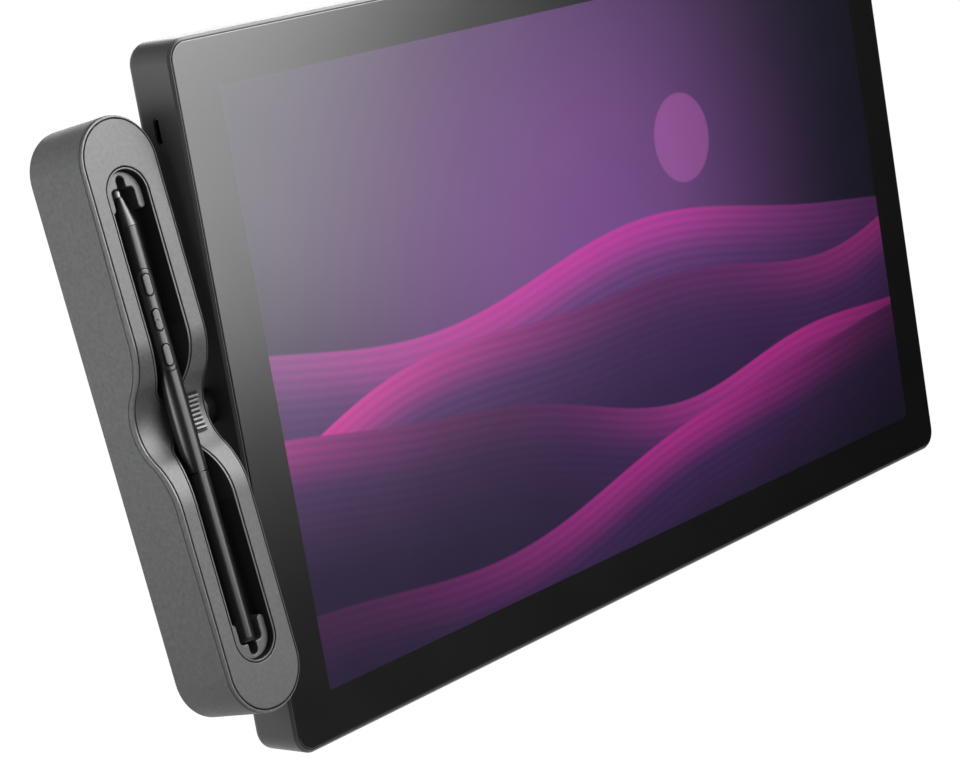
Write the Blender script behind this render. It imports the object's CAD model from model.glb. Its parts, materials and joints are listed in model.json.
import json
import math

import bmesh
import bpy
from mathutils import Matrix, Vector

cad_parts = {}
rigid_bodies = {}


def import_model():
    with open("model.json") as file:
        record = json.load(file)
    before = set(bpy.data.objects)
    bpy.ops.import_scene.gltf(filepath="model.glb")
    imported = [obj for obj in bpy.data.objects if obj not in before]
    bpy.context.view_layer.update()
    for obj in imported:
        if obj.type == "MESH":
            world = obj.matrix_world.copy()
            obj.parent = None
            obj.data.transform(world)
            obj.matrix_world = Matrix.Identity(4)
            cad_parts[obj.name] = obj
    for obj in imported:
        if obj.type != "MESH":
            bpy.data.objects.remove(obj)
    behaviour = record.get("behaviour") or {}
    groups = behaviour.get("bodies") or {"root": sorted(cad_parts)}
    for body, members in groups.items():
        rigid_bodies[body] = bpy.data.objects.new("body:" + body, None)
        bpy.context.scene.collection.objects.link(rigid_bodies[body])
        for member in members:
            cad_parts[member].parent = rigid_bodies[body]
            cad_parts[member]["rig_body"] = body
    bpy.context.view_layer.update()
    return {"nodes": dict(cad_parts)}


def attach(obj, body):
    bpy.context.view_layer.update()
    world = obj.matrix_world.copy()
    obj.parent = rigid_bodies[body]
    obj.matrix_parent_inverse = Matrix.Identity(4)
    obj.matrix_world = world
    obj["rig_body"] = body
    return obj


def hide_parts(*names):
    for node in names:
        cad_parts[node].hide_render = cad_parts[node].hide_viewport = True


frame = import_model()

# Rear housing
# Shallow aluminium shell that holds every layer of the display, machined, blasted and anodised dark grey.
# Its rim has a fine chamfer that catches the light, and its back has vents, key holes and wall-mount holes.
MM = 0.001
SAME_SPOT = 0.004 * MM


def new_object(name, data):
    made = bpy.data.objects.new(name, data)
    bpy.context.scene.collection.objects.link(made)
    return made


def plain_mesh(piece):
    """Turns a piece and its modifiers into one plain mesh."""
    shown = piece.evaluated_get(bpy.context.evaluated_depsgraph_get())
    mesh = bpy.data.meshes.new_from_object(shown)
    old = piece.data
    piece.modifiers.clear()
    piece.data = mesh
    bpy.data.meshes.remove(old)


def smooth(piece, sharp):
    """Smooth shading that keeps edges over a number of degrees sharp and flat faces flat."""
    piece.data.shade_smooth()
    piece.data.set_sharp_from_angle(angle=math.radians(sharp))
    piece.modifiers.new("even", "WEIGHTED_NORMAL").keep_sharp = True
    plain_mesh(piece)


def stands_for(piece, node, finish, place=Matrix(), sharp=30):
    """Moves a piece to its place, smooths it, and gives it its finish and the place of a node of the frame."""
    piece.data.transform(place)
    smooth(piece, sharp)
    piece.data.materials.clear()
    piece.data.materials.append(finish)
    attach(piece, frame["nodes"][node]["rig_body"])
    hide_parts(node)


def merged(node):
    """The shape of a node of the frame, with corners at the same spot made one."""
    shape = bmesh.new()
    shape.from_mesh(frame["nodes"][node].data)
    bmesh.ops.remove_doubles(shape, verts=shape.verts, dist=SAME_SPOT)
    return shape


def feed(tree, node, values):
    """Puts numbers or linked sockets on a node's inputs."""
    for key, value in values.items():
        if isinstance(value, bpy.types.NodeSocket):
            tree.links.new(value, node.inputs[key])
        else:
            node.inputs[key].default_value = value


def add_node(tree, kind, values=None, **settings):
    """A new node with its settings and inputs."""
    node = tree.nodes.new(kind)
    for key, value in settings.items():
        setattr(node, key, value)
    feed(tree, node, values or {})
    return node


def maths(tree, operation, first, second=0.0, third=0.0):
    return add_node(tree, "ShaderNodeMath", {0: first, 1: second, 2: third}, operation=operation).outputs[0]


def mixed(tree, share, first, second, blend="MIX"):
    node = add_node(tree, "ShaderNodeMix", {0: share, 6: first, 7: second}, data_type="RGBA", blend_type=blend)
    return node.outputs[2]


def noise(tree, place, scale, detail, rough=0.5):
    return add_node(tree, "ShaderNodeTexNoise",
                    {"Vector": place, "Scale": scale, "Detail": detail, "Roughness": rough}).outputs[0]


def new_group(name, inputs, outputs, kind="ShaderNodeTree"):
    """A node group and its two ends. Each named socket has a type, or a number that it starts at."""
    group = bpy.data.node_groups.new(name, kind)
    for way, sockets in (("INPUT", inputs), ("OUTPUT", outputs)):
        for label, what in sockets.items():
            type_name = what if isinstance(what, str) else "Float"
            made = group.interface.new_socket(label, in_out=way, socket_type="NodeSocket" + type_name)
            if type_name != what:
                made.default_value = what
    return group, group.nodes.new("NodeGroupInput").outputs, group.nodes.new("NodeGroupOutput")


def new_finish(name):
    """A new material, its node tree and its shader."""
    finish = bpy.data.materials.new(name)
    finish.use_nodes = True
    return finish, finish.node_tree, finish.node_tree.nodes["Principled BSDF"]


# Fine moulded or blasted grain: a height for the bump, and a tone and a share that vary over the surface
SPECKLE_SIZE, SPECKLE_GAIN, PATCH_SCALE, PATCH_ROUGH, GRAIN_STRENGTH = 0.45, 4.0, 38.0, 0.1, 0.5
grain, given, end = new_group("fine grain", {"Vector": "Vector", "Scale": 2200.0, "Contrast": 0.1},
                              {"Height": "Float", "Tone": "Float", "Patches": "Float"})
place, scale = given["Vector"], given["Scale"]
speckle = noise(grain, place, maths(grain, "MULTIPLY", scale, SPECKLE_SIZE), 2.0)
swing = maths(grain, "MULTIPLY", maths(grain, "SUBTRACT", speckle, 0.5),
              maths(grain, "MULTIPLY", given["Contrast"], SPECKLE_GAIN))
feed(grain, end, {"Height": noise(grain, place, scale, 4.0, 0.65), "Tone": maths(grain, "ADD", swing, 1.0),
                  "Patches": noise(grain, place, PATCH_SCALE, 3.0)})


def grained(name, colour, rough, scale, contrast, depth, metallic=0.0, specular=0.4):
    """A finish with fine grain: its colour and roughness vary, and the grain stands out a little."""
    finish, tree, shader = new_finish(name)
    place = add_node(tree, "ShaderNodeTexCoord").outputs["Object"]
    surface = add_node(tree, "ShaderNodeGroup", {"Vector": place, "Scale": scale, "Contrast": contrast},
                       node_tree=grain).outputs
    uneven = maths(tree, "SUBTRACT", surface["Patches"], 0.5)
    bump = add_node(tree, "ShaderNodeBump",
                    {"Height": surface["Height"], "Strength": GRAIN_STRENGTH, "Distance": depth * MM})
    feed(tree, shader, {
        "Base Color": mixed(tree, 1.0, (*colour, 1.0), surface["Tone"], "MULTIPLY"), "Normal": bump.outputs[0],
        "Roughness": maths(tree, "MULTIPLY_ADD", uneven, PATCH_ROUGH, rough), "Metallic": metallic,
        "Specular IOR Level": specular})
    return finish


shell = merged("rear_housing")
shell.verts.index_update()
mesh = bpy.data.meshes.new("rear_housing_smooth")
mesh.from_pydata([v.co[:] for v in shell.verts], [], [[v.index for v in f.verts] for f in shell.faces])
shell.free()
housing_finish = grained("housing anodised", (0.048, 0.048, 0.05), 0.42, 2600.0, 0.08, 0.02, specular=0.45)
stands_for(new_object("rear_housing_smooth", mesh), "rear_housing", housing_finish)

# Boards, chassis and cooling inside the housing
# Green circuit boards on posts, a rolled aluminium chassis plate, an extruded heat sink and a moulded blower.
# They show only through the vents, so they keep the shapes of the frame.
LINE_CONTRAST, LINE_ROUGH, LINE_STRENGTH, LINE_DEPTH = 0.5, 0.2, 0.3, 0.01 * MM


def dress(finish, *nodes):
    """Gives nodes of the frame that keep their shape a finish."""
    for node in nodes:
        mesh = frame["nodes"][node].data
        mesh.materials.clear()
        mesh.materials.append(finish)


def brushed(name, colour, rough, stretch=(60.0, 3000.0, 3000.0)):
    """Metal with fine lines along one way."""
    finish, tree, shader = new_finish(name)
    place = add_node(tree, "ShaderNodeTexCoord").outputs["Object"]
    drawn = add_node(tree, "ShaderNodeMapping", {"Vector": place, "Scale": stretch})
    lines = noise(tree, drawn.outputs[0], 1.0, 3.0)
    uneven = maths(tree, "SUBTRACT", lines, 0.5)
    tone = maths(tree, "MULTIPLY_ADD", uneven, LINE_CONTRAST, 1.0)
    bump = add_node(tree, "ShaderNodeBump", {"Height": lines, "Strength": LINE_STRENGTH, "Distance": LINE_DEPTH})
    feed(tree, shader, {
        "Base Color": mixed(tree, 1.0, (*colour, 1.0), tone, "MULTIPLY"), "Normal": bump.outputs[0],
        "Roughness": maths(tree, "MULTIPLY_ADD", uneven, LINE_ROUGH, rough), "Metallic": 1.0})
    return finish


board_finish, tree, shader = new_finish("board green")
place = add_node(tree, "ShaderNodeTexCoord").outputs["Object"]
flat = add_node(tree, "ShaderNodeMapping", {"Vector": place, "Rotation": (math.pi / 2, 0, 0)})
lanes = add_node(tree, "ShaderNodeTexBrick", {
    "Vector": flat.outputs[0], "Color1": (0.012, 0.085, 0.04, 1), "Color2": (0.016, 0.1, 0.045, 1),
    "Mortar": (0.035, 0.16, 0.08, 1), "Scale": 160.0, "Mortar Size": 0.035, "Brick Width": 0.9, "Row Height": 0.3})
raised = add_node(tree, "ShaderNodeBump", {"Height": lanes.outputs["Fac"], "Strength": 0.4, "Distance": 0.03 * MM})
feed(tree, shader, {"Base Color": lanes.outputs["Color"], "Normal": raised.outputs[0], "Roughness": 0.35})
dress(board_finish, "main_board", "port_boards", "key_boards", "pen_board", "sensor_sheet")
dress(brushed("chassis rolled", (0.6, 0.61, 0.62), 0.4), "chassis_plate")
dress(brushed("sink extruded", (0.68, 0.69, 0.7), 0.35, (3000.0, 3000.0, 60.0)), "heat_sink")
dress(grained("amber film", (0.42, 0.2, 0.045), 0.3, 1200.0, 0.06, 0.01), "panel_flex")
blower_black = grained("blower black", (0.018, 0.018, 0.02), 0.5, 1800.0, 0.08, 0.02)
dress(blower_black, "fan_housing", "fan_wheel", "power_switch")

# Wall-mount plate and side sockets
# A pressed steel plate with four tapped bosses level with the back, and knurled brass inserts in both sides.
# Plate and inserts are fixed inside the housing.
dress(brushed("steel zinc", (0.5, 0.5, 0.51), 0.38), "vesa_plate", "spindle_clip", "pen_sensor")
dress(brushed("insert brass", (0.6, 0.42, 0.17), 0.32, (200.0, 3000.0, 3000.0)), "left_insert", "right_insert")

# Housing screws
# Eight black steel screws with low round heads and a hexagon recess, sunk a little into the back.
# They go through posts of the housing into the chassis plate.
SCREW_X, SCREW_Z = (199.0, 70.333), 114.0
HEAD_R, HEAD_TOP, HEAD_FOOT, SHANK_R, SHANK_END = 2.5, -0.2, -1.6, 1.2, -13.9
RECESS_R, RECESS_START, RECESS_FLOOR = 1.25, 0.5, -1.0


def lathe(build, profile, steps, tube=False):
    """Turns (along, radius) pairs about the Y axis into a solid, or a tube when the profile runs round."""
    turns = [2 * math.pi * i / steps for i in range(steps)]
    loops = []
    for along, radius in profile:
        spots = turns if radius else turns[:1]
        loops.append([build.verts.new((radius * math.cos(t), along, radius * math.sin(t))) for t in spots])
    for low, high in zip(loops, loops[1:] + loops[:1] if tube else loops[1:]):
        for i in range(steps):
            corners = [low[i % len(low)], low[(i + 1) % len(low)], high[(i + 1) % len(high)], high[i % len(high)]]
            build.faces.new(list(dict.fromkeys(corners)))
    for loop in [] if tube else (loops[0], loops[-1]):
        if len(loop) > 1:
            build.faces.new(loop)


def into_mesh(build, name, place=Matrix()):
    """A piece from a shape drawn in millimetres in its own frame, moved to its place."""
    bmesh.ops.recalc_face_normals(build, faces=build.faces)
    build.transform(place @ Matrix.Scale(MM, 4))
    mesh = bpy.data.meshes.new(name)
    build.to_mesh(mesh)
    build.free()
    return new_object(name, mesh)


def turned(name, profile, steps, place=Matrix(), tube=False):
    build = bmesh.new()
    lathe(build, profile, steps, tube)
    return into_mesh(build, name, place)


def combine(piece, other, operation="DIFFERENCE"):
    """Takes a closed shape out of a piece, or joins it on; the other shape itself goes."""
    change = piece.modifiers.new("combine", "BOOLEAN")
    change.operation, change.solver, change.object = operation, "EXACT", other
    plain_mesh(piece)
    bpy.data.objects.remove(other)


# Puts one shape on each point of a mesh
on_points, given, end = new_group("shape on points", {"Places": "Geometry", "Shape": "Object", "Finish": "Material"},
                                  {"Result": "Geometry"}, "GeometryNodeTree")
shape = add_node(on_points, "GeometryNodeObjectInfo", {"Object": given["Shape"]})
points = add_node(on_points, "GeometryNodeMeshToPoints", {"Mesh": given["Places"]})
copies = add_node(on_points, "GeometryNodeInstanceOnPoints",
                  {"Points": points.outputs[0], "Instance": shape.outputs["Geometry"]})
real = add_node(on_points, "GeometryNodeRealizeInstances", {"Geometry": copies.outputs[0]})
done = add_node(on_points, "GeometryNodeSetMaterial", {"Geometry": real.outputs[0], "Material": given["Finish"]})
feed(on_points, end, {"Result": done.outputs[0]})


def grow(piece, tree, **values):
    """Runs a tree with its named inputs on a piece, and keeps the result as its mesh."""
    modifier = piece.modifiers.new(tree.name, "NODES")
    modifier.node_group = tree
    for item in tree.interface.items_tree:
        if item.in_out == "INPUT" and item.name in values:
            modifier[item.identifier] = values[item.name]
    plain_mesh(piece)


def repeated(name, shape, spots, finish):
    """One piece with a copy of a shape at each spot; the shape itself goes."""
    mesh = bpy.data.meshes.new(name)
    mesh.from_pydata([[v * MM for v in spot] for spot in spots], [], [])
    piece = new_object(name, mesh)
    grow(piece, on_points, Shape=shape, Finish=finish)
    bpy.data.objects.remove(shape)
    return piece


screw = turned("screw", [
    (HEAD_TOP, 0), (HEAD_TOP, HEAD_R - 0.35), (HEAD_TOP - 0.1, HEAD_R - 0.1), (HEAD_TOP - 0.35, HEAD_R),
    (HEAD_FOOT, HEAD_R), (HEAD_FOOT, SHANK_R), (SHANK_END, SHANK_R)], 36)
combine(screw, turned("recess", [(RECESS_START, RECESS_R), (RECESS_FLOOR, RECESS_R)], 6))
black_steel = grained("steel blackened", (0.022, 0.022, 0.024), 0.4, 3000.0, 0.1, 0.01, specular=0.6)
screw_places = [(side * x, 0, end * SCREW_Z) for x in SCREW_X for side in (-1, 1) for end in (-1, 1)]
stands_for(repeated("housing_screw_set", screw, screw_places, black_steel), "housing_screws", black_steel)

# Rear feet
# Four round-ended rubber pads, pressed into shallow recesses in the back.
# Their edges are rounded and their faces a little worn.
FOOT_HALF_W, FOOT_HALF_L, FOOT_PROUD, FOOT_SUNK, FOOT_EDGE, FOOT_X, FOOT_Z = 4.0, 13.0, 4.2, 0.8, 1.1, 178.0, 101.0


def turned_by(degrees, axis):
    return Matrix.Rotation(math.radians(degrees), 4, axis)


def slot_outline(half_w, half_l, fixed=(), steps=20):
    """Points around a round-ended slot, long side along Y, with extra points at fixed heights on its sides."""
    straight = half_l - half_w
    side = [-straight, *fixed, straight]
    ends = [math.pi * i / steps for i in range(1, steps)]
    top = [(half_w * math.cos(a), straight + half_w * math.sin(a)) for a in ends]
    return ([(half_w, y) for y in side] + top + [(-half_w, y) for y in reversed(side)]
            + [(-x, -y) for x, y in top])


def loft(build, rings, closed=False):
    """Joins outlines with the same number of points, and closes the ends or runs round."""
    loops = [[build.verts.new(p) for p in ring] for ring in rings]
    for low, high in zip(loops, loops[1:] + loops[:1] if closed else loops[1:]):
        for i in range(len(low)):
            build.faces.new((low[i - 1], low[i], high[i], high[i - 1]))
    if not closed:
        build.faces.new(loops[0])
        build.faces.new(loops[-1])


def lofted(name, rings, place=Matrix(), closed=False):
    build = bmesh.new()
    loft(build, rings, closed)
    return into_mesh(build, name, place)


def rounding(radius, steps=4):
    """Steps of a quarter round: how far in and how far up from its start."""
    turns = [math.pi / 2 * i / steps for i in range(steps + 1)]
    return [(radius - radius * math.cos(t), radius * math.sin(t)) for t in turns]


def pad(name, place, half_w, half_l, low, high, edge, flange=0.0, flange_top=0.0, dish=0.0):
    """A round-ended block with rounded top edges, a flange at its foot and a dished face."""
    rings = [(-flange, low), (-flange, flange_top), (0.0, flange_top)] if flange else [(0.0, low)]
    rings += [(inset, high - edge + up) for inset, up in rounding(edge)]
    rings += [(half_w * 0.55, high - dish * 0.7), (half_w * 0.85, high - dish)]
    return lofted(name, [[(*p, z) for p in slot_outline(half_w - i, half_l - i)] for i, z in rings], place)


BACK = turned_by(-90, "X")
foot = pad("foot", BACK @ turned_by(90, "Z"), FOOT_HALF_W, FOOT_HALF_L, -FOOT_SUNK, FOOT_PROUD, FOOT_EDGE)
rubber = grained("rubber black", (0.02, 0.02, 0.021), 0.72, 1500.0, 0.14, 0.05, specular=0.3)
foot_places = [(x * FOOT_X, 0, z * FOOT_Z) for x in (-1, 1) for z in (-1, 1)]
stands_for(repeated("rear_foot_set", foot, foot_places, rubber), "rear_feet", rubber)

# Rear keys and power button
# Moulded round-ended caps with a slightly dished face. Each has a flange behind the wall that keeps it in.
# Four keys stand in a column on each side of the back, and the power button sits in the top edge.
CAP_FOOT, FLANGE_TOP, CAP_SHARP = -3.7, -2.7, 40
KEY_HALF_W, KEY_HALF_L, KEY_PROUD, KEY_EDGE, KEY_FLANGE, KEY_DISH = 4.0, 7.5, 1.2, 0.6, 1.5, 0.35
KEY_X, KEY_Z, KEY_PITCH, KEY_ROWS = 178.0, 16.0, 19.0, 4
POWER_HALF_W, POWER_HALF_L, POWER_PROUD, POWER_EDGE, POWER_FLANGE, POWER_DISH = 2.0, 6.0, 0.8, 0.4, 1.0, 0.2
key_finish = grained("key plastic", (0.03, 0.03, 0.032), 0.5, 2400.0, 0.1, 0.03)
for side, name in ((-1, "left"), (1, "right")):
    for i in range(KEY_ROWS):
        spot = Matrix.Translation((side * KEY_X * MM, 0, (KEY_Z + ((KEY_ROWS - 1) / 2 - i) * KEY_PITCH) * MM))
        key = pad(f"key_{name}_{i + 1}_cap", spot @ BACK, KEY_HALF_W, KEY_HALF_L, CAP_FOOT, KEY_PROUD, KEY_EDGE,
                  KEY_FLANGE, FLANGE_TOP, KEY_DISH)
        stands_for(key, f"key_{name}_{i + 1}", key_finish, sharp=CAP_SHARP)
top_edge = Matrix.Translation((0.151, -0.0075, 0.126)) @ turned_by(90, "Z")
power = pad("power_button_cap", top_edge, POWER_HALF_W, POWER_HALF_L, CAP_FOOT, POWER_PROUD, POWER_EDGE,
            POWER_FLANGE, FLANGE_TOP, POWER_DISH)
stands_for(power, "power_button", key_finish, sharp=CAP_SHARP)

# Data ports
# Stamped steel shells with round ends and a tongue inside, one low in each side near the top.
# They are soldered to small boards and stand a little back from the wall.
port_steel = brushed("port steel", (0.2, 0.2, 0.205), 0.35, (60.0, 2000.0, 2000.0))
dress(port_steel, "usb_port_left", "usb_port_right")

# Picture panel
# Liquid crystal panel with its backlight and sensor sheet behind it, held between chassis plate and glass.
# It is on, and shows a plain wallpaper of violet dunes under a low moon.
PICTURE_HALF_W, PICTURE_HALF_H = 191.0, 107.5
RIPPLE_RATE, RIPPLE_SHARE, CREST_SOFT, FADE_DEEP, BROW_DEEP, STRATA_RATE = 2.3, 0.3, 0.004, 0.55, 0.2, 190.0
GLOW_X, GLOW_Z, GLOW_STRETCH, GLOW_FROM, GLOW_TO = -0.12, 0.22, 0.62, 0.05, 1.1
MOON_X, MOON_Z, MOON_STRETCH, MOON_OUTER, MOON_INNER, MOON_SHARE = 0.3, 0.42, 0.5628, 0.098, 0.093, 0.6
DUSK_FROM, DUSK_LEVEL = 0.25, 0.45


def ramp(tree, value, low, high, start=0.0, end=1.0, shape="LINEAR"):
    """A number that goes from start to end while a value goes from low to high."""
    limits = {"Value": value, "From Min": low, "From Max": high, "To Min": start, "To Max": end}
    return add_node(tree, "ShaderNodeMapRange", limits, interpolation_type=shape).outputs[0]


dune, given, end = new_group(
    "dune", {"X": 0.0, "Z": 0.0, "Base": 0.0, "Slope": 0.0, "Swell": 0.1, "Length": 2.0, "Phase": 0.0},
    {"Share": "Float", "Tone": "Float", "Brow": "Float"})
wave = maths(dune, "MULTIPLY_ADD", given["X"], given["Length"], given["Phase"])
ripple = maths(dune, "SINE", maths(dune, "MULTIPLY", wave, RIPPLE_RATE))
roll = maths(dune, "MULTIPLY_ADD", ripple, RIPPLE_SHARE, maths(dune, "SINE", wave))
incline = maths(dune, "MULTIPLY_ADD", given["X"], given["Slope"], given["Base"])
below = maths(dune, "SUBTRACT", maths(dune, "MULTIPLY_ADD", roll, given["Swell"], incline), given["Z"])
lee = maths(dune, "MULTIPLY_ADD", maths(dune, "COSINE", wave), 0.35, 0.65)
strata = maths(dune, "MULTIPLY_ADD", maths(dune, "SINE", maths(dune, "MULTIPLY", below, STRATA_RATE)), 0.12, 0.88)
shade = maths(dune, "MULTIPLY", lee, strata)
fade = ramp(dune, below, 0.0, FADE_DEEP, 1.0, 0.0, "SMOOTHSTEP")
brow = maths(dune, "MULTIPLY", ramp(dune, below, 0.0, BROW_DEEP, 1.0, 0.0, "SMOOTHSTEP"), lee)
feed(dune, end, {"Share": ramp(dune, below, -CREST_SOFT, CREST_SOFT), "Tone": maths(dune, "MULTIPLY", fade, shade),
                 "Brow": maths(dune, "MULTIPLY", brow, shade)})

wallpaper, given, end = new_group("wallpaper", {"Place": "Vector"}, {"Colour": "Color"})
spot = add_node(wallpaper, "ShaderNodeSeparateXYZ", {0: given["Place"]})
across = maths(wallpaper, "DIVIDE", spot.outputs["X"], PICTURE_HALF_W * MM)
upright = maths(wallpaper, "DIVIDE", spot.outputs["Z"], PICTURE_HALF_H * MM)


def distance_to(x, z, stretch):
    """How far a spot of the picture is from a point, in half widths."""
    aside = maths(wallpaper, "SUBTRACT", across, x)
    above = maths(wallpaper, "MULTIPLY", maths(wallpaper, "SUBTRACT", upright, z), stretch)
    squares = maths(wallpaper, "MULTIPLY_ADD", aside, aside, maths(wallpaper, "MULTIPLY", above, above))
    return maths(wallpaper, "SQRT", squares)


glow = ramp(wallpaper, distance_to(GLOW_X, GLOW_Z, GLOW_STRETCH), GLOW_FROM, GLOW_TO, shape="SMOOTHSTEP")
colour = mixed(wallpaper, glow, (0.165, 0.055, 0.24, 1), (0.006, 0.004, 0.022, 1))
moon = ramp(wallpaper, distance_to(MOON_X, MOON_Z, MOON_STRETCH), MOON_OUTER, MOON_INNER)
colour = mixed(wallpaper, maths(wallpaper, "MULTIPLY", moon, MOON_SHARE), colour, (0.36, 0.09, 0.36, 1))
for *numbers, light, dark, brow in (
        (0.06, -0.16, 0.13, 2.3, 0.5, (0.17, 0.045, 0.24, 1), (0.036, 0.012, 0.075, 1), (0.56, 0.03, 0.34, 1)),
        (-0.12, 0.1, 0.12, 2.7, 2.6, (0.13, 0.034, 0.2, 1), (0.022, 0.008, 0.052, 1), (0.62, 0.028, 0.31, 1)),
        (-0.4, -0.14, 0.1, 3.1, 4.3, (0.09, 0.024, 0.15, 1), (0.014, 0.006, 0.036, 1), (0.5, 0.022, 0.27, 1)),
        (-0.68, 0.08, 0.09, 2.6, 5.9, (0.05, 0.015, 0.095, 1), (0.009, 0.005, 0.024, 1), (0.36, 0.018, 0.22, 1))):
    form = dict(zip(("Base", "Slope", "Swell", "Length", "Phase"), numbers))
    layer = add_node(wallpaper, "ShaderNodeGroup", {"X": across, "Z": upright, **form}, node_tree=dune).outputs
    slope = mixed(wallpaper, layer["Brow"], mixed(wallpaper, layer["Tone"], dark, light), brow)
    colour = mixed(wallpaper, layer["Share"], colour, slope)
dusk = ramp(wallpaper, across, DUSK_FROM, 1.0, 1.0, DUSK_LEVEL)
feed(wallpaper, end, {"Colour": mixed(wallpaper, 1.0, colour, dusk, "MULTIPLY")})


def wallpaper_colour(tree):
    """The wallpaper in a material, and the place it is drawn at."""
    place = add_node(tree, "ShaderNodeTexCoord").outputs["Object"]
    return add_node(tree, "ShaderNodeGroup", {"Place": place}, node_tree=wallpaper).outputs["Colour"], place


picture, tree, shader = new_finish("panel lit")
feed(tree, shader, {"Emission Color": wallpaper_colour(tree)[0], "Emission Strength": 1.0,
                    "Base Color": (0.004, 0.004, 0.006, 1), "Specular IOR Level": 0.0})
dress(picture, "lcd_panel")
dress(grained("diffuser white", (0.75, 0.75, 0.74), 0.5, 1500.0, 0.03, 0.01), "backlight")
dress(grained("foam tape", (0.008, 0.008, 0.009), 0.85, 3000.0, 0.2, 0.05), "glass_tape")

# Front glass
# One pane of etched glass over the whole front, with ground edges and a black border printed on its back.
# It lies on foam tape with an even gap around it, bonded to the panel, so that the picture shows at its face.
DISPLAY = turned_by(90, "X")
GLASS_HALF_W, GLASS_HALF_H, GLASS_CORNER = 209.55, 124.55, 6.55
GLASS_BACK, GLASS_FACE, GLASS_GROUND, GLASS_BACK_EDGE = 20.85, 22.0, 0.3, 0.2
ETCH_ROUGH, ETCH_UNEVEN, PICTURE_LEVEL = 0.24, 0.03, 0.93


def rounded_outline(half_w, half_h, corner, steps=12):
    """Points around a rectangle with round corners."""
    outline = []
    for quarter, (right, up) in enumerate(((1, 1), (-1, 1), (-1, -1), (1, -1))):
        for i in range(steps + 1):
            turn = math.pi / 2 * (quarter + i / steps)
            outline.append((right * (half_w - corner) + corner * math.cos(turn),
                            up * (half_h - corner) + corner * math.sin(turn)))
    return outline


rings = [(GLASS_BACK_EDGE, GLASS_BACK), (0.0, GLASS_BACK + GLASS_BACK_EDGE)]
rings += [(inset, GLASS_FACE - GLASS_GROUND + up) for inset, up in rounding(GLASS_GROUND)]
pane = lofted("front_glass_pane", [
    [(*p, z) for p in rounded_outline(GLASS_HALF_W - i, GLASS_HALF_H - i, GLASS_CORNER - i)]
    for i, z in rings], DISPLAY)
etched, tree, shader = new_finish("glass etched")
colour, place = wallpaper_colour(tree)
spot = add_node(tree, "ShaderNodeSeparateXYZ", {0: place})
inside = maths(tree, "MULTIPLY", *(
    maths(tree, "LESS_THAN", maths(tree, "ABSOLUTE", spot.outputs[axis]), half * MM)
    for axis, half in (("X", PICTURE_HALF_W), ("Z", PICTURE_HALF_H))))
surface = add_node(tree, "ShaderNodeGroup", {"Vector": place}, node_tree=grain)
uneven = maths(tree, "SUBTRACT", surface.outputs["Patches"], 0.5)
feed(tree, shader, {
    "Roughness": maths(tree, "MULTIPLY_ADD", uneven, ETCH_UNEVEN, ETCH_ROUGH), "IOR": 1.6,
    "Emission Color": mixed(tree, 1.0, colour, inside, "MULTIPLY"), "Emission Strength": PICTURE_LEVEL,
    "Base Color": (0.002, 0.002, 0.0022, 1)})
stands_for(pane, "front_glass", etched)

# Tray pivot
# Turned and blackened steel stud in the left socket, with a flange against the side and a spindle into the tray.
# A black friction washer and a moulded bushing take the turning, and a clip keeps the spindle in.
dress(grained("stud blackened", (0.011, 0.011, 0.012), 0.6, 2500.0, 0.06, 0.03, specular=0.08), "pivot_stud")
dress(grained("washer fibre", (0.011, 0.011, 0.011), 0.7, 2500.0, 0.15, 0.04, specular=0.08), "friction_washer")
dress(grained("bushing nylon", (0.03, 0.03, 0.031), 0.45, 2000.0, 0.06, 0.02), "pivot_bushing")

# Pen tray
# Long round-ended tub moulded in charcoal plastic with a fine eroded grain, turned by a few degrees on its pivot.
# Its front edge dips in the middle so that fingers reach the pen, and a ledge inside carries the lid.
TRAY_LEAN = 7.8
TRAY = Matrix.Translation((-0.2327, -0.0075, 0.0008)) @ turned_by(90 - TRAY_LEAN, "X")
TO_TRAY = TRAY.inverted()
TRAY_HALF_W, TRAY_STRAIGHT, TRAY_FRONT, TRAY_BACK, TRAY_REAR_R = 16.3, 86.9, 17.85, -11.15, 2.0
TRAY_FLOOR, LEDGE_DROP, CAVITY_INSET = -9.15, 2.1, 2.8
RIM_IN, RIM_FOOT, RIM_ROUND, RIM_LINE, RIM_THIN, RIM_BAND = 1.0, 0.1, 0.5, 0.5, 0.65, 0.25
RIM_DEEP, RIM_DEEP_Y, RIM_END_DEEP, RIM_END_Y = 1.8, 31.0, 0.7, 95.0
RIM_GROOVE = ((0.0, 1.0), (0.1, 0.8), (0.28, 0.5), (0.2, 0.2))
DIP_HALF, DIP_R, DIP_CENTRE, DIP_SHOULDER_R, DIP_SPAN = 29.0, 18.0, 24.75, 25.43, 31
DIP_TURN = DIP_HALF * DIP_R / (DIP_R + DIP_SHOULDER_R)
BOSS_R, BOSS_START, BOSS_TOP, BUSHING_HOLE_R = 5.6, 9.8, 4.65, 4.15


def front(y):
    """Height of the tray's front edge, which follows a round dip with round shoulders."""
    if abs(y) <= DIP_TURN:
        return DIP_CENTRE - math.sqrt(DIP_R ** 2 - y ** 2)
    if abs(y) < DIP_HALF:
        return TRAY_FRONT - DIP_SHOULDER_R + math.sqrt(DIP_SHOULDER_R ** 2 - (DIP_HALF - abs(y)) ** 2)
    return TRAY_FRONT


def tray_ring(half_w, straight, inset, height, aside=0.0):
    """A round-ended ring drawn in by inset, less so towards the display; inset and height may follow the dip."""
    ring = []
    for x, y in slot_outline(half_w, straight + half_w, range(-DIP_SPAN, DIP_SPAN + 1), 28):
        step = (inset(y) if callable(inset) else inset) - aside * max(0.0, x) / half_w
        share = 1 - step / half_w
        middle = max(-straight, min(straight, y))
        ring.append((x * share, middle + (y - middle) * share, height(y) if callable(height) else height))
    return ring


def below_front(drop):
    return lambda y: front(y) - drop


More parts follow.
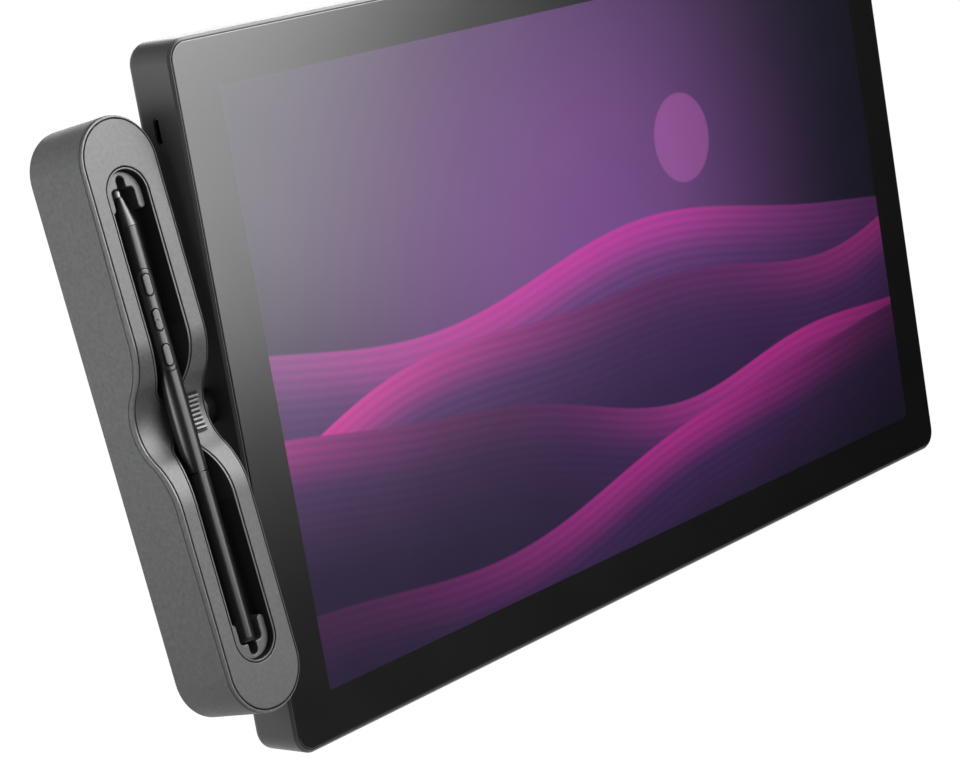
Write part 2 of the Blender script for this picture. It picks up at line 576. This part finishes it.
def rim_flank(share, more=0.0):
    """A height on the outside of the rim, which grows deeper from the ends to the dip."""
    def height(y):
        near_dip = max(0.0, min(1.0, (RIM_END_Y - abs(y)) / (RIM_END_Y - RIM_DEEP_Y)))
        return front(y) - share * (RIM_END_DEEP + (RIM_DEEP - RIM_END_DEEP) * near_dip) - more
    return height


def second_finish(piece, finish, belongs):
    """Gives another finish to the faces whose middle, in millimetres in the tray's frame, belongs to it."""
    piece.data.materials.append(finish)
    for face in piece.data.polygons:
        face.material_index = int(belongs((TO_TRAY @ face.center) / MM))


body = [(inset, TRAY_BACK + TRAY_REAR_R - up) for inset, up in reversed(rounding(TRAY_REAR_R, 6))]
body += [(inset, rim_flank(1.0, RIM_LINE * share)) for inset, share in RIM_GROOVE]
rim = [(RIM_FOOT + (RIM_ROUND - RIM_FOOT) * inset, rim_flank(1 - up)) for inset, up in rounding(1.0, 7)]
rim += [(RIM_IN - 0.05, below_front(0.0)), (RIM_IN, below_front(0.08)), (RIM_IN, below_front(LEDGE_DROP))]
cavity = [(CAVITY_INSET, below_front(LEDGE_DROP)), (CAVITY_INSET, TRAY_FLOOR)]
tray = lofted("tray_tub", [
    tray_ring(TRAY_HALF_W, TRAY_STRAIGHT, inset, height, thin * inset)
    for rings, thin in ((body, 0.0), (rim, RIM_THIN), (cavity, 0.0)) for inset, height in rings])
along_x = turned_by(-90, "Z")
boss = bmesh.new()
lathe(boss, [(BOSS_START, BOSS_R), (TRAY_HALF_W - 0.7, BOSS_R)], 40)
for vert in boss.verts:
    vert.co.z = min(vert.co.z, BOSS_TOP)
combine(tray, into_mesh(boss, "boss", along_x), "UNION")
combine(tray, turned("hole", [(BOSS_START - 1, BUSHING_HOLE_R), (TRAY_HALF_W + 1, BUSHING_HOLE_R)], 40, along_x))
tray_finish = grained("tray charcoal", (0.11, 0.111, 0.113), 0.52, 1700.0, 0.16, 0.06, specular=0.2)
rim_finish = grained("tray rim", (0.13, 0.131, 0.133), 0.42, 1700.0, 0.12, 0.04, specular=0.5)
stands_for(tray, "tray_base", tray_finish, TRAY)
second_finish(tray, rim_finish, lambda spot: spot.z > front(spot.y) - RIM_BAND)

# Spare nibs and their rack
# Ten short plastic nibs lie in a slotted rack, fixed to the floor of the tray under the lid.
# They are reached with the lid lifted off.
RACK_Y, NIB_R, NIB_HALF_L, NIB_PITCH, NIB_Z, NIB_COUNT = 51.6, 0.9, 8.5, 3.4, -6.2, 10
NIB_CHAMFER, RACK_EDGE, RACK_FLAT, RACK_SHARP = 0.12, 0.15, 2, 35


def nib_profile(low, high):
    """A round-nosed rod with a chamfered foot."""
    turns = [math.pi / 16 * i for i in range(8)]
    nose = [(high - NIB_R + NIB_R * math.sin(t), NIB_R * math.cos(t)) for t in turns]
    return [(low, 0), (low, NIB_R - NIB_CHAMFER), (low + NIB_CHAMFER, NIB_R), *nose, (high, 0)]


nib_black = grained("nib plastic", (0.022, 0.022, 0.023), 0.42, 2500.0, 0.06, 0.01)
rod = turned("rod", nib_profile(-NIB_HALF_L, NIB_HALF_L), 20, along_x)
rod_spots = [(0, RACK_Y + (i - (NIB_COUNT - 1) / 2) * NIB_PITCH, NIB_Z) for i in range(NIB_COUNT)]
stands_for(repeated("spare_nib_row", rod, rod_spots, nib_black), "spare_nibs", nib_black, TRAY)
rack = merged("nib_rack")
bmesh.ops.dissolve_limit(rack, angle_limit=math.radians(RACK_FLAT), verts=rack.verts, edges=rack.edges)
sharp = [e for e in rack.edges if len(e.link_faces) == 2 and e.calc_face_angle(0) > math.radians(RACK_SHARP)]
bmesh.ops.bevel(rack, geom=sharp, offset=RACK_EDGE * MM, segments=2, profile=0.5, affect="EDGES", clamp_overlap=True)
mesh = bpy.data.meshes.new("nib_rack_edged")
rack.to_mesh(mesh)
rack.free()
rack_finish = grained("rack plastic", (0.045, 0.045, 0.047), 0.55, 1800.0, 0.1, 0.03)
stands_for(new_object("nib_rack_edged", mesh), "nib_rack", rack_finish)

# Tray lid
# Plate of the same charcoal plastic that drops onto the ledge, flush with the rim, and follows the dip.
# Four tabs hold it inside the tub, and its long hole frames the pen trough.
LID_HALF_W, LID_ASIDE, LID_T, LID_EDGE = 14.9, 0.8, 1.8, 0.4
HOLE_HALF_W, HOLE_STRAIGHT, HOLE_EDGE, HOLE_LEAST = 9.3, 76.5, 0.3, 0.06
TROUGH_HALF_W, TROUGH_KNEE, TROUGH_FLOOR = 9.1, 11.3, 7.6
WALL_LEAN, LEAN_LOSS, LEAN_FROM, LEAN_RUN = 0.41, 0.31, 40, 28
TAB_X, TAB_Y, TAB_T, TAB_L, TAB_DEPTH, TAB_OVERLAP = 12.6, 51.6, 1.2, 10.0, 4.0, 0.3
WEB_HALF_W, WEB_HALF_L, WEB_DROP = 0.25, 5.3, 0.01
STEM_X, STEM_SLOT_W, STEM_SLOT_L, STEM_CUT_TOP = 11.0, 2.2, 7.0, 20


def block(x, y, width, length, low, high):
    """A plain box about an upright line, used to join on or to cut."""
    build = bmesh.new()
    bmesh.ops.create_cube(build, size=1.0)
    for vert in build.verts:
        vert.co = Vector((x + width * vert.co.x, y + length * vert.co.y, low if vert.co.z < 0 else high))
    return into_mesh(build, "block")


def trough_half(y, z):
    """Half the width of the trough at a height: walls that lean in, more so beside the dip, and a round floor."""
    lean = WALL_LEAN - LEAN_LOSS * max(0.0, min(1.0, (abs(y) - LEAN_FROM) / LEAN_RUN))
    wall = TROUGH_HALF_W - lean * (TRAY_FRONT - max(z, TROUGH_KNEE))
    low = max(0.0, TROUGH_KNEE - z) / (TROUGH_KNEE - TROUGH_FLOOR)
    return wall * math.sqrt(max(0.0, 1 - low ** 2))


def hole_inset(y, edge=0.0):
    """How far the lid's hole is drawn in: it narrows in the dip until the lid closes under the pen."""
    half = max(HOLE_LEAST, trough_half(y, front(y)) + HOLE_HALF_W - TROUGH_HALF_W)
    return HOLE_HALF_W - half - edge * min(1.0, half)


outer = [(0.0, below_front(LID_T))] + [(inset, below_front(LID_EDGE - up)) for inset, up in rounding(LID_EDGE)]
inner = [(lambda y, i=inset: hole_inset(y, i), below_front(HOLE_EDGE - up))
         for inset, up in reversed(rounding(HOLE_EDGE))]
inner += [(hole_inset, below_front(LID_T))]
lid = lofted("tray_lid_plate", [
    *(tray_ring(LID_HALF_W, TRAY_STRAIGHT, inset, height, LID_ASIDE) for inset, height in outer),
    *(tray_ring(HOLE_HALF_W, HOLE_STRAIGHT, inset, height) for inset, height in inner)], closed=True)
web_corners = [(-WEB_HALF_W, LID_T), (WEB_HALF_W, LID_T), (WEB_HALF_W, WEB_DROP), (-WEB_HALF_W, WEB_DROP)]
web = lofted("web", [[(x, y, front(y) - drop) for x, drop in web_corners]
                     for y in [WEB_HALF_L * (i / 10 - 1) for i in range(21)]])
combine(lid, web, "UNION")
under = TRAY_FRONT - LID_T
for x in (-TAB_X, TAB_X):
    for y in (-TAB_Y, TAB_Y):
        combine(lid, block(x, y, TAB_T, TAB_L, under - TAB_DEPTH, under + TAB_OVERLAP), "UNION")
combine(lid, block(STEM_X, 0, STEM_SLOT_W, STEM_SLOT_L, 0, STEM_CUT_TOP))
lid_finish = grained("lid charcoal", (0.08, 0.081, 0.083), 0.46, 1700.0, 0.2, 0.05, specular=0.5)
stands_for(lid, "tray_lid", lid_finish, TRAY)

# Trough liner
# Two thin black mouldings with leaning walls and a round floor, set into the lid's hole above and below the dip.
# Their lip lies just below the lid's face, in the lid's finish, with a fine gap around it.
LIP_DROP, LIP_OUT, LIP_W, LIP_EDGE, LIP_ROLL, LINER_BOTTOM, LINER_START = 0.2, 0.15, 0.6, 0.1, 0.12, 4.95, 5.5


def lip_inset(y, more=0.0):
    return TROUGH_HALF_W - max(0.3, trough_half(y, front(y)) - LIP_OUT) + more


def liner_step(share):
    """A ring of the inside, between lip and floor."""
    def height(y):
        top = front(y) - LIP_DROP - LIP_ROLL
        return top - share * max(0.0, top - TROUGH_FLOOR)

    def inset(y):
        half = trough_half(y, height(y)) - (LIP_OUT + LIP_W) * (1 - share)
        return TROUGH_HALF_W - max(0.06 + 0.1 * (1 - share), half)
    return inset, height


rings = [(lip_inset, LINER_BOTTOM), (lip_inset, below_front(LIP_DROP + LIP_EDGE)),
         (lambda y: lip_inset(y, LIP_EDGE), below_front(LIP_DROP)),
         (lambda y: min(lip_inset(y, LIP_W - LIP_ROLL), TROUGH_HALF_W - 0.2), below_front(LIP_DROP))]
rings += [liner_step(math.sin(math.pi / 2 * i / 12)) for i in range(13)]
half_rings = [[p for p in tray_ring(TROUGH_HALF_W, HOLE_STRAIGHT, inset, height) if p[1] > LINER_START]
              for inset, height in rings]
liner = bmesh.new()
for way in (1, -1):
    loft(liner, [[(way * x, way * y, z) for x, y, z in ring] for ring in half_rings])
liner = into_mesh(liner, "trough_liner_shell", TRAY)
liner_black = grained("liner black", (0.022, 0.022, 0.023), 0.6, 2000.0, 0.08, 0.03, specular=0.15)
stands_for(liner, "trough_liner", liner_black)
second_finish(liner, lid_finish, lambda spot: spot.z > front(spot.y) - LIP_DROP - 0.11)

# Pen cradles
# Two moulded forks, one at each end of the trough, that hold the pen's ends between their legs.
# Each stands on the floor of the trough and has a narrow slot that takes the nib.
CRADLE_R, CRADLE_Y, LEG_IN, LEG_TIP_Y, PEN_STOP = 8.0, 76.5, 4.9, 72.55, 78.8
NIB_SLOT_HALF, NIB_SLOT_END, CRADLE_TOP, CRADLE_EDGE = 1.7, 83.0, 15.25, 0.45
FORK_CORNER, FORK_SHOULDER = 1.5, 0.6


def arc(x, y, radius, start, end, steps):
    turns = [math.radians(start + (end - start) * i / steps) for i in range(steps + 1)]
    return [(x + radius * math.cos(t), y + radius * math.sin(t)) for t in turns]


def fork_outline(inset):
    """Right half from the nib slot to the crown, mirrored for the left half, drawn in all round."""
    leg_r = (CRADLE_R - LEG_IN) / 2
    half = arc(0, NIB_SLOT_END - NIB_SLOT_HALF, NIB_SLOT_HALF + inset, 84, 0, 8)
    half += arc(NIB_SLOT_HALF + FORK_SHOULDER, PEN_STOP + FORK_SHOULDER, FORK_SHOULDER - inset, 180, 270, 6)
    half += arc(LEG_IN - FORK_CORNER, PEN_STOP - FORK_CORNER, FORK_CORNER + inset, 90, 0, 6)
    half += arc(CRADLE_R - leg_r, LEG_TIP_Y, leg_r - inset, 180, 360, 16)
    half += arc(0, CRADLE_Y, CRADLE_R - inset, 0, 87, 28)
    return half + [(-x, y) for x, y in reversed(half)]


rings = [(0.0, TROUGH_FLOOR)] + [(inset, CRADLE_TOP - CRADLE_EDGE + up) for inset, up in rounding(CRADLE_EDGE, 5)]
fork_rings = [[(*p, z) for p in fork_outline(inset)] for inset, z in rings]
for name, turn in (("upper", 0), ("lower", 180)):
    fork = lofted(f"{name}_cradle_fork", fork_rings, TRAY @ turned_by(turn, "Z"))
    stands_for(fork, f"{name}_cradle", lid_finish)

# Release slider
# Thin black plate in the floor of the dip, curved like it, with eight lighter ribs for the fingertip.
# A stem goes through a slot in the lid, and the plate slides a little along the dip.
SLIDER_X, SLIDER_HALF_W, SLIDER_OUTER_R, SLIDER_INNER_R, SLIDER_HALF_TURN = 10.2, 2.4, 17.7, 17.3, 22.9
RIB_COUNT, RIB_H, RIB_W, RIB_EDGE, RIB_SUNK, PLATE_EDGE = 8, 0.85, 0.9, 0.25, 0.1, 0.05
STEM_W, STEM_L, STEM_LOW, STEM_HIGH = 1.6, 4.0, 4.95, 7.15

rib_row, given, end = new_group(
    "ribs along an arc",
    {"Plate": "Geometry", "Rib": "Object", "Count": "Int", "Step": 0.1, "Finish": "Material"},
    {"Result": "Geometry"}, "GeometryNodeTree")
spots = add_node(rib_row, "GeometryNodePoints", {"Count": given["Count"]})
middle = maths(rib_row, "MULTIPLY_ADD", given["Count"], 0.5, -0.5)
order = maths(rib_row, "SUBTRACT", add_node(rib_row, "GeometryNodeInputIndex").outputs[0], middle)
swung = add_node(rib_row, "ShaderNodeCombineXYZ", {"X": maths(rib_row, "MULTIPLY", order, given["Step"])})
swing = add_node(rib_row, "FunctionNodeEulerToRotation", {0: swung.outputs[0]})
one_rib = add_node(rib_row, "GeometryNodeObjectInfo", {"Object": given["Rib"]})
ribs = add_node(rib_row, "GeometryNodeInstanceOnPoints", {
    "Points": spots.outputs[0], "Instance": one_rib.outputs["Geometry"], "Rotation": swing.outputs[0]})
real = add_node(rib_row, "GeometryNodeRealizeInstances", {"Geometry": ribs.outputs[0]})
both = add_node(rib_row, "GeometryNodeJoinGeometry")
for part in (real.outputs[0], given["Plate"]):
    rib_row.links.new(part, both.inputs[0])
done = add_node(rib_row, "GeometryNodeSetMaterial", {"Geometry": both.outputs[0], "Material": given["Finish"]})
feed(rib_row, end, {"Result": done.outputs[0]})

half_section = [(SLIDER_HALF_W, SLIDER_OUTER_R), (SLIDER_HALF_W, SLIDER_INNER_R + PLATE_EDGE),
                (SLIDER_HALF_W - PLATE_EDGE, SLIDER_INNER_R)]
section = half_section + [(-x, r) for x, r in reversed(half_section)]
turns = [math.radians(SLIDER_HALF_TURN) * (i / 12 - 1) for i in range(25)]
slider = lofted("release_slider_plate", [[(x, r * math.sin(t), -r * math.cos(t)) for x, r in section] for t in turns])
combine(slider, block(STEM_X - SLIDER_X, 0, STEM_W, STEM_L, STEM_LOW - DIP_CENTRE, STEM_HIGH - DIP_CENTRE), "UNION")
rib_outline = [(RIB_W / 2, 0.0)] + [(RIB_W / 2 - i, RIB_H + RIB_SUNK - RIB_EDGE + up) for i, up in rounding(RIB_EDGE)]
rib_outline += [(-y, up) for y, up in reversed(rib_outline)]
rib = lofted("rib", [[(x, y, up - SLIDER_INNER_R - RIB_SUNK) for y, up in rib_outline]
                     for x in (0.1 - SLIDER_HALF_W, SLIDER_HALF_W - 0.1)])
slider_finish = grained("slider charcoal", (0.18, 0.181, 0.183), 0.38, 2000.0, 0.08, 0.02, specular=0.6)
grow(slider, rib_row, Rib=rib, Count=RIB_COUNT, Step=math.radians(2 * SLIDER_HALF_TURN / (RIB_COUNT + 0.5)),
     Finish=slider_finish)
bpy.data.objects.remove(rib)
stands_for(slider, "release_slider", slider_finish, TRAY @ Matrix.Translation((SLIDER_X * MM, 0, DIP_CENTRE * MM)))
second_finish(slider, liner_black, lambda spot: math.hypot(spot.y, spot.z - DIP_CENTRE) > SLIDER_INNER_R - 0.1)

# Pen barrel, cone and end cap
# Two black satin barrels pushed together on a spigot, with a tapered cone at the tip and a cap at the tail.
# Each joint shows as a fine dark line.
PEN_RISE, PEN_TURN, PEN_STEPS, PEN_SHARP = 0.01195, -17, 96, 25
PEN = TRAY @ Matrix.Translation((0, 0, PEN_RISE)) @ turned_by(PEN_TURN, "Y")
PEN_R, TAIL_R, BORE_R, REAR_BORE_R, SEAM = 3.9, 3.65, 3.0, 2.55, 0.12
SPIGOT_R, PLUG_R = BORE_R - 0.05, REAR_BORE_R - 0.05
JOINT_Y, JOINT_GAP, SPIGOT_L = -18.7, 0.4, 5.0
REAR_END, SPIGOT_END = JOINT_Y - JOINT_GAP, JOINT_Y + SPIGOT_L
CONE_BACK, CONE_FRONT, CONE_TIP_R, NIB_HOLE_R = 66.2, 76.2, 1.4, 1.0
CAP_Y, CAP_T, CAP_PLUG_L, PEN_TIP, NIB_BACK = -78.5, 1.6, 3.0, 78.5, 56.2
TAIL_Y, PLUG_END = CAP_Y + CAP_T, CAP_Y + CAP_T + CAP_PLUG_L
PLATE_Y, PLATE_HALF_L, PLATE_HALF_W, PLATE_FLOOR, PLATE_GAP, CUT_TOP = 33.85, 17.5, 2.75, 2.5, 0.24, 6.0


def prism(half_w, half_l, y, low):
    """An upright round-ended block on the pen, used to cut."""
    outline = slot_outline(half_w, half_l, (), 24)
    return lofted("prism", [[(x, y + along, z) for x, along in outline] for z in (low, CUT_TOP)])


front_barrel = turned("pen_front_barrel_tube", [
    (JOINT_Y, BORE_R), (JOINT_Y, PEN_R - SEAM), (JOINT_Y + SEAM, PEN_R), (PLATE_Y, PEN_R), (CONE_BACK - SEAM, PEN_R),
    (CONE_BACK, PEN_R - SEAM), (CONE_BACK, BORE_R)], PEN_STEPS, tube=True)
combine(front_barrel, prism(PLATE_HALF_W + SEAM, PLATE_HALF_L + PLATE_GAP, PLATE_Y, PLATE_FLOOR))
rear_barrel = turned("pen_rear_barrel_tube", [
    (TAIL_Y, REAR_BORE_R), (TAIL_Y, TAIL_R - SEAM), (TAIL_Y + SEAM, TAIL_R), (REAR_END - SEAM, PEN_R),
    (REAR_END, PEN_R - SEAM), (REAR_END, SPIGOT_R), (SPIGOT_END - 0.2, SPIGOT_R), (SPIGOT_END, SPIGOT_R - 0.2),
    (SPIGOT_END, REAR_BORE_R)], PEN_STEPS, tube=True)
cone = turned("pen_cone_tube", [
    (CONE_BACK - SPIGOT_L, NIB_HOLE_R), (CONE_BACK - SPIGOT_L, SPIGOT_R), (CONE_BACK, SPIGOT_R),
    (CONE_BACK, PEN_R - SEAM), (CONE_BACK + SEAM, PEN_R - 0.02), (CONE_BACK + 1.0, PEN_R - 0.2),
    (CONE_FRONT - 0.25, CONE_TIP_R + 0.05), (CONE_FRONT - 0.07, CONE_TIP_R - 0.03), (CONE_FRONT, CONE_TIP_R - 0.15),
    (CONE_FRONT, NIB_HOLE_R)], PEN_STEPS, tube=True)
cap = turned("pen_end_cap_disc", [
    (CAP_Y, 0), (CAP_Y, TAIL_R - 0.75), (CAP_Y + 0.12, TAIL_R - 0.4), (CAP_Y + 0.35, TAIL_R - 0.17),
    (CAP_Y + 0.7, TAIL_R - 0.06), (TAIL_Y - SEAM, TAIL_R), (TAIL_Y, TAIL_R - SEAM), (TAIL_Y, PLUG_R),
    (PLUG_END, PLUG_R), (PLUG_END, 0)], PEN_STEPS)
pen_finish = grained("pen satin", (0.018, 0.018, 0.0185), 0.29, 2600.0, 0.06, 0.008, specular=0.5)
for piece, node in ((front_barrel, "pen_front_barrel"), (rear_barrel, "pen_rear_barrel"), (cone, "pen_cone"),
                    (cap, "pen_end_cap")):
    stands_for(piece, node, pen_finish, PEN, PEN_SHARP)
dress(grained("coil copper", (0.5, 0.2, 0.07), 0.35, 3000.0, 0.2, 0.03, 1.0), "pen_coil")

# Pen nib
# Pale plastic rod with a round nose, worn smooth, that shows at the tip of the cone.
# It is pushed in from the front and slides in by a fraction of a millimetre.
nib_pale = grained("nib worn smooth", (0.75, 0.75, 0.75), 0.2, 2500.0, 0.06, 0.005, specular=0.6)
stands_for(turned("pen_nib_rod", nib_profile(NIB_BACK, PEN_TIP), PEN_STEPS), "pen_nib", nib_pale, PEN, 50)

# Pen buttons and their plate
# Glossy black strip let into the barrel, with round ends and three openings for crowned satin buttons.
# The middle button has a raised dot to find it by touch.
BUTTON_HALF_W, BUTTON_HALF_L, BUTTON_PITCH, BUTTON_LOW, BUTTON_GAP = 1.3, 3.65, 12.1, 2.6, 0.38
CROWN_R, CROWN_FLAT, BUTTON_EDGE, STRIP_EDGE, OPENING_LOW, DOT_R, DOT_SUNK = 4.2, 4.0, 0.25, 0.08, 1.0, 0.42, 0.2


def crowned(name, half_w, half_l, y, low, crown_r, edge, flat=0.0):
    """A round-ended block along the pen whose face follows a cylinder or a flatter one, with rounded edges."""
    rings = [[(x, y + along, low) for x, along in slot_outline(half_w, half_l, (), 24)]]
    insets = rounding(edge) + [(edge + (half_w - edge) * share, edge) for share in (0.25, 0.5, 0.75, 0.92)]
    for inset, up in insets:
        rings.append([(x, y + along, math.sqrt((crown_r + flat) ** 2 - x ** 2) - flat - edge + up)
                      for x, along in slot_outline(half_w - inset, half_l - inset, (), 24)])
    return lofted(name, rings)


strip = crowned("pen_button_strip", PLATE_HALF_W, PLATE_HALF_L, PLATE_Y, PLATE_FLOOR, PEN_R, STRIP_EDGE)
button_finish = grained("button satin", (0.13, 0.13, 0.132), 0.36, 2600.0, 0.06, 0.01, specular=0.5)
for i, name in enumerate(("front", "middle", "rear")):
    button_y = PLATE_Y + (1 - i) * BUTTON_PITCH
    combine(strip, prism(BUTTON_HALF_W + BUTTON_GAP, BUTTON_HALF_L + BUTTON_GAP, button_y, OPENING_LOW))
    button = crowned(f"pen_button_{name}_cap", BUTTON_HALF_W, BUTTON_HALF_L, button_y, BUTTON_LOW, CROWN_R,
                     BUTTON_EDGE, CROWN_FLAT)
    if name == "middle":
        dot = bmesh.new()
        bmesh.ops.create_uvsphere(dot, u_segments=20, v_segments=12, radius=DOT_R,
                                  matrix=Matrix.Translation((0, button_y, CROWN_R - DOT_SUNK)))
        combine(button, into_mesh(dot, "dot"), "UNION")
    stands_for(button, f"pen_button_{name}", button_finish, PEN, CAP_SHARP)
strip_gloss = grained("strip gloss", (0.042, 0.042, 0.043), 0.3, 2600.0, 0.04, 0.005, specular=0.5)
stands_for(strip, "pen_button_plate", strip_gloss, PEN, CAP_SHARP)

# Floor, light and camera
# Pale floor well below the display. Two soft boxes in front and two small lamps for lid and dip show only as sheen,
# fills stand in front, at the left and behind, and dark cards show only in gloss. The background looks white.
FLOOR_Z, FLOOR_HALF, FLOOR_GLOW, LIGHT_LEVEL, SEEN_MORE = -0.9, 14000.0, 0.92, 0.14, 0.86
CARD_HALF = 500.0
seen_white, given, end = new_group("paths that see the background",
                                   {"Camera": 0.0, "Glossy": 0.0, "Transmission": 0.0}, {"Share": "Float"})
either = maths(seen_white, "MAXIMUM", given["Camera"], given["Glossy"])
feed(seen_white, end, {"Share": maths(seen_white, "MAXIMUM", either, given["Transmission"])})


def background_share(tree):
    """Tells in a tree whether a path is one that sees the background."""
    path = add_node(tree, "ShaderNodeLightPath").outputs
    seen = {name: path[f"Is {name} Ray"] for name in ("Camera", "Glossy", "Transmission")}
    return add_node(tree, "ShaderNodeGroup", seen, node_tree=seen_white).outputs["Share"]


world = bpy.data.worlds.new("studio")
bpy.context.scene.world = world
world.use_nodes = True
tree = world.node_tree
level = maths(tree, "MULTIPLY_ADD", background_share(tree), SEEN_MORE, LIGHT_LEVEL)
feed(tree, tree.nodes["Background"], {"Strength": level, "Color": (1, 1, 1, 1)})


def sheet(name, half, place, finish):
    """A flat square of the stage."""
    build = bmesh.new()
    bmesh.ops.create_grid(build, x_segments=1, y_segments=1, size=half)
    made = into_mesh(build, name, place)
    made.data.materials.append(finish)
    return made


pale, tree, shader = new_finish("floor pale")
feed(tree, shader, {"Base Color": (0.8, 0.8, 0.8, 1), "Roughness": 0.9, "Specular IOR Level": 0.0,
                    "Emission Color": (1, 1, 1, 1),
                    "Emission Strength": maths(tree, "MULTIPLY", background_share(tree), FLOOR_GLOW)})
sheet("floor", FLOOR_HALF, Matrix.Translation((0, 0, FLOOR_Z)), pale)


def facing(place, aim, axis="-Z"):
    """A place, turned so that an axis points from it to an aim."""
    turn = (Vector(aim) - Vector(place)).to_track_quat(axis, "Y")
    return Matrix.Translation(place) @ turn.to_matrix().to_4x4()


def soft_lamp(name, place, aim, width, height, power, diffuse=True, sheen=True, aside=(0.0, 0.0)):
    lamp = bpy.data.lights.new(name, "AREA")
    lamp.shape, lamp.size, lamp.size_y, lamp.energy = "RECTANGLE", width, height, power
    held = new_object(name, lamp)
    held.matrix_world = facing(place, aim) @ Matrix.Translation((*aside, 0.0))
    held.visible_camera, held.visible_diffuse, held.visible_glossy = False, diffuse, sheen


soft_lamp("key right", (0.215, -1.15, 0.355), (-0.1, 0.0, 0.0), 0.525, 1.2, 11.9, diffuse=False, aside=(0.4475, 0.0))
soft_lamp("key left", (0.215, -1.15, 0.355), (-0.1, 0.0, 0.0), 0.895, 1.0, 15.8, diffuse=False, aside=(-0.2625, 0.1))
soft_lamp("front fill", (0.1, -0.95, 0.5), (-0.05, 0.0, 0.0), 0.8, 0.8, 5.4, sheen=False)
soft_lamp("left lamp", (-0.51, 0.06, 0.05), (-0.249, 0.0, 0.03), 0.19, 0.19, 0.72)
soft_lamp("rear fill", (0.75, 1.0, 0.3), (0.0, 0.0, 0.0), 0.9, 0.9, 9.0)
soft_lamp("lid sheen", (0.067, -0.37, 0.31), (-0.233, -0.02, 0.1), 0.35, 0.35, 3.2, diffuse=False)
soft_lamp("dip sheen", (0.145, -0.12, 0.45), (-0.233, -0.015, 0.0), 0.3, 0.3, 3.4, diffuse=False)

card_black, tree, shader = new_finish("card black")
feed(tree, shader, {"Base Color": (0, 0, 0, 1), "Specular IOR Level": 0.0})
for name, spot, width, height in (("right_card", (1.2, -1.2, -0.1), 3.2, 2.0),
                                  ("left_card", (-0.95, -1.3, 0.1), 2.2, 2.0), ("top_card", (0.0, 0.0, 1.2), 2.6, 2.6)):
    place = facing(spot, (0, 0, 0), "Z") @ Matrix.Diagonal((width, height, 1, 1))
    card = sheet(name, CARD_HALF, place, card_black)
    card.visible_camera = card.visible_diffuse = card.visible_transmission = card.visible_shadow = False

EYE, LOOK_AT = (-0.81623, -0.69344, 0.15801), (-0.05688, 0.006595, -0.031305)
LENS, SENSOR_W, ROLL = 100.96, 36.0, -9.687
camera_data = bpy.data.cameras.new("camera")
camera_data.lens, camera_data.sensor_width, camera_data.sensor_fit = LENS, SENSOR_W, "HORIZONTAL"
camera = new_object("camera", camera_data)
camera.matrix_world = facing(EYE, LOOK_AT) @ turned_by(ROLL, "Z")
bpy.context.scene.camera = camera
bpy.context.scene.view_settings.view_transform = "Standard"
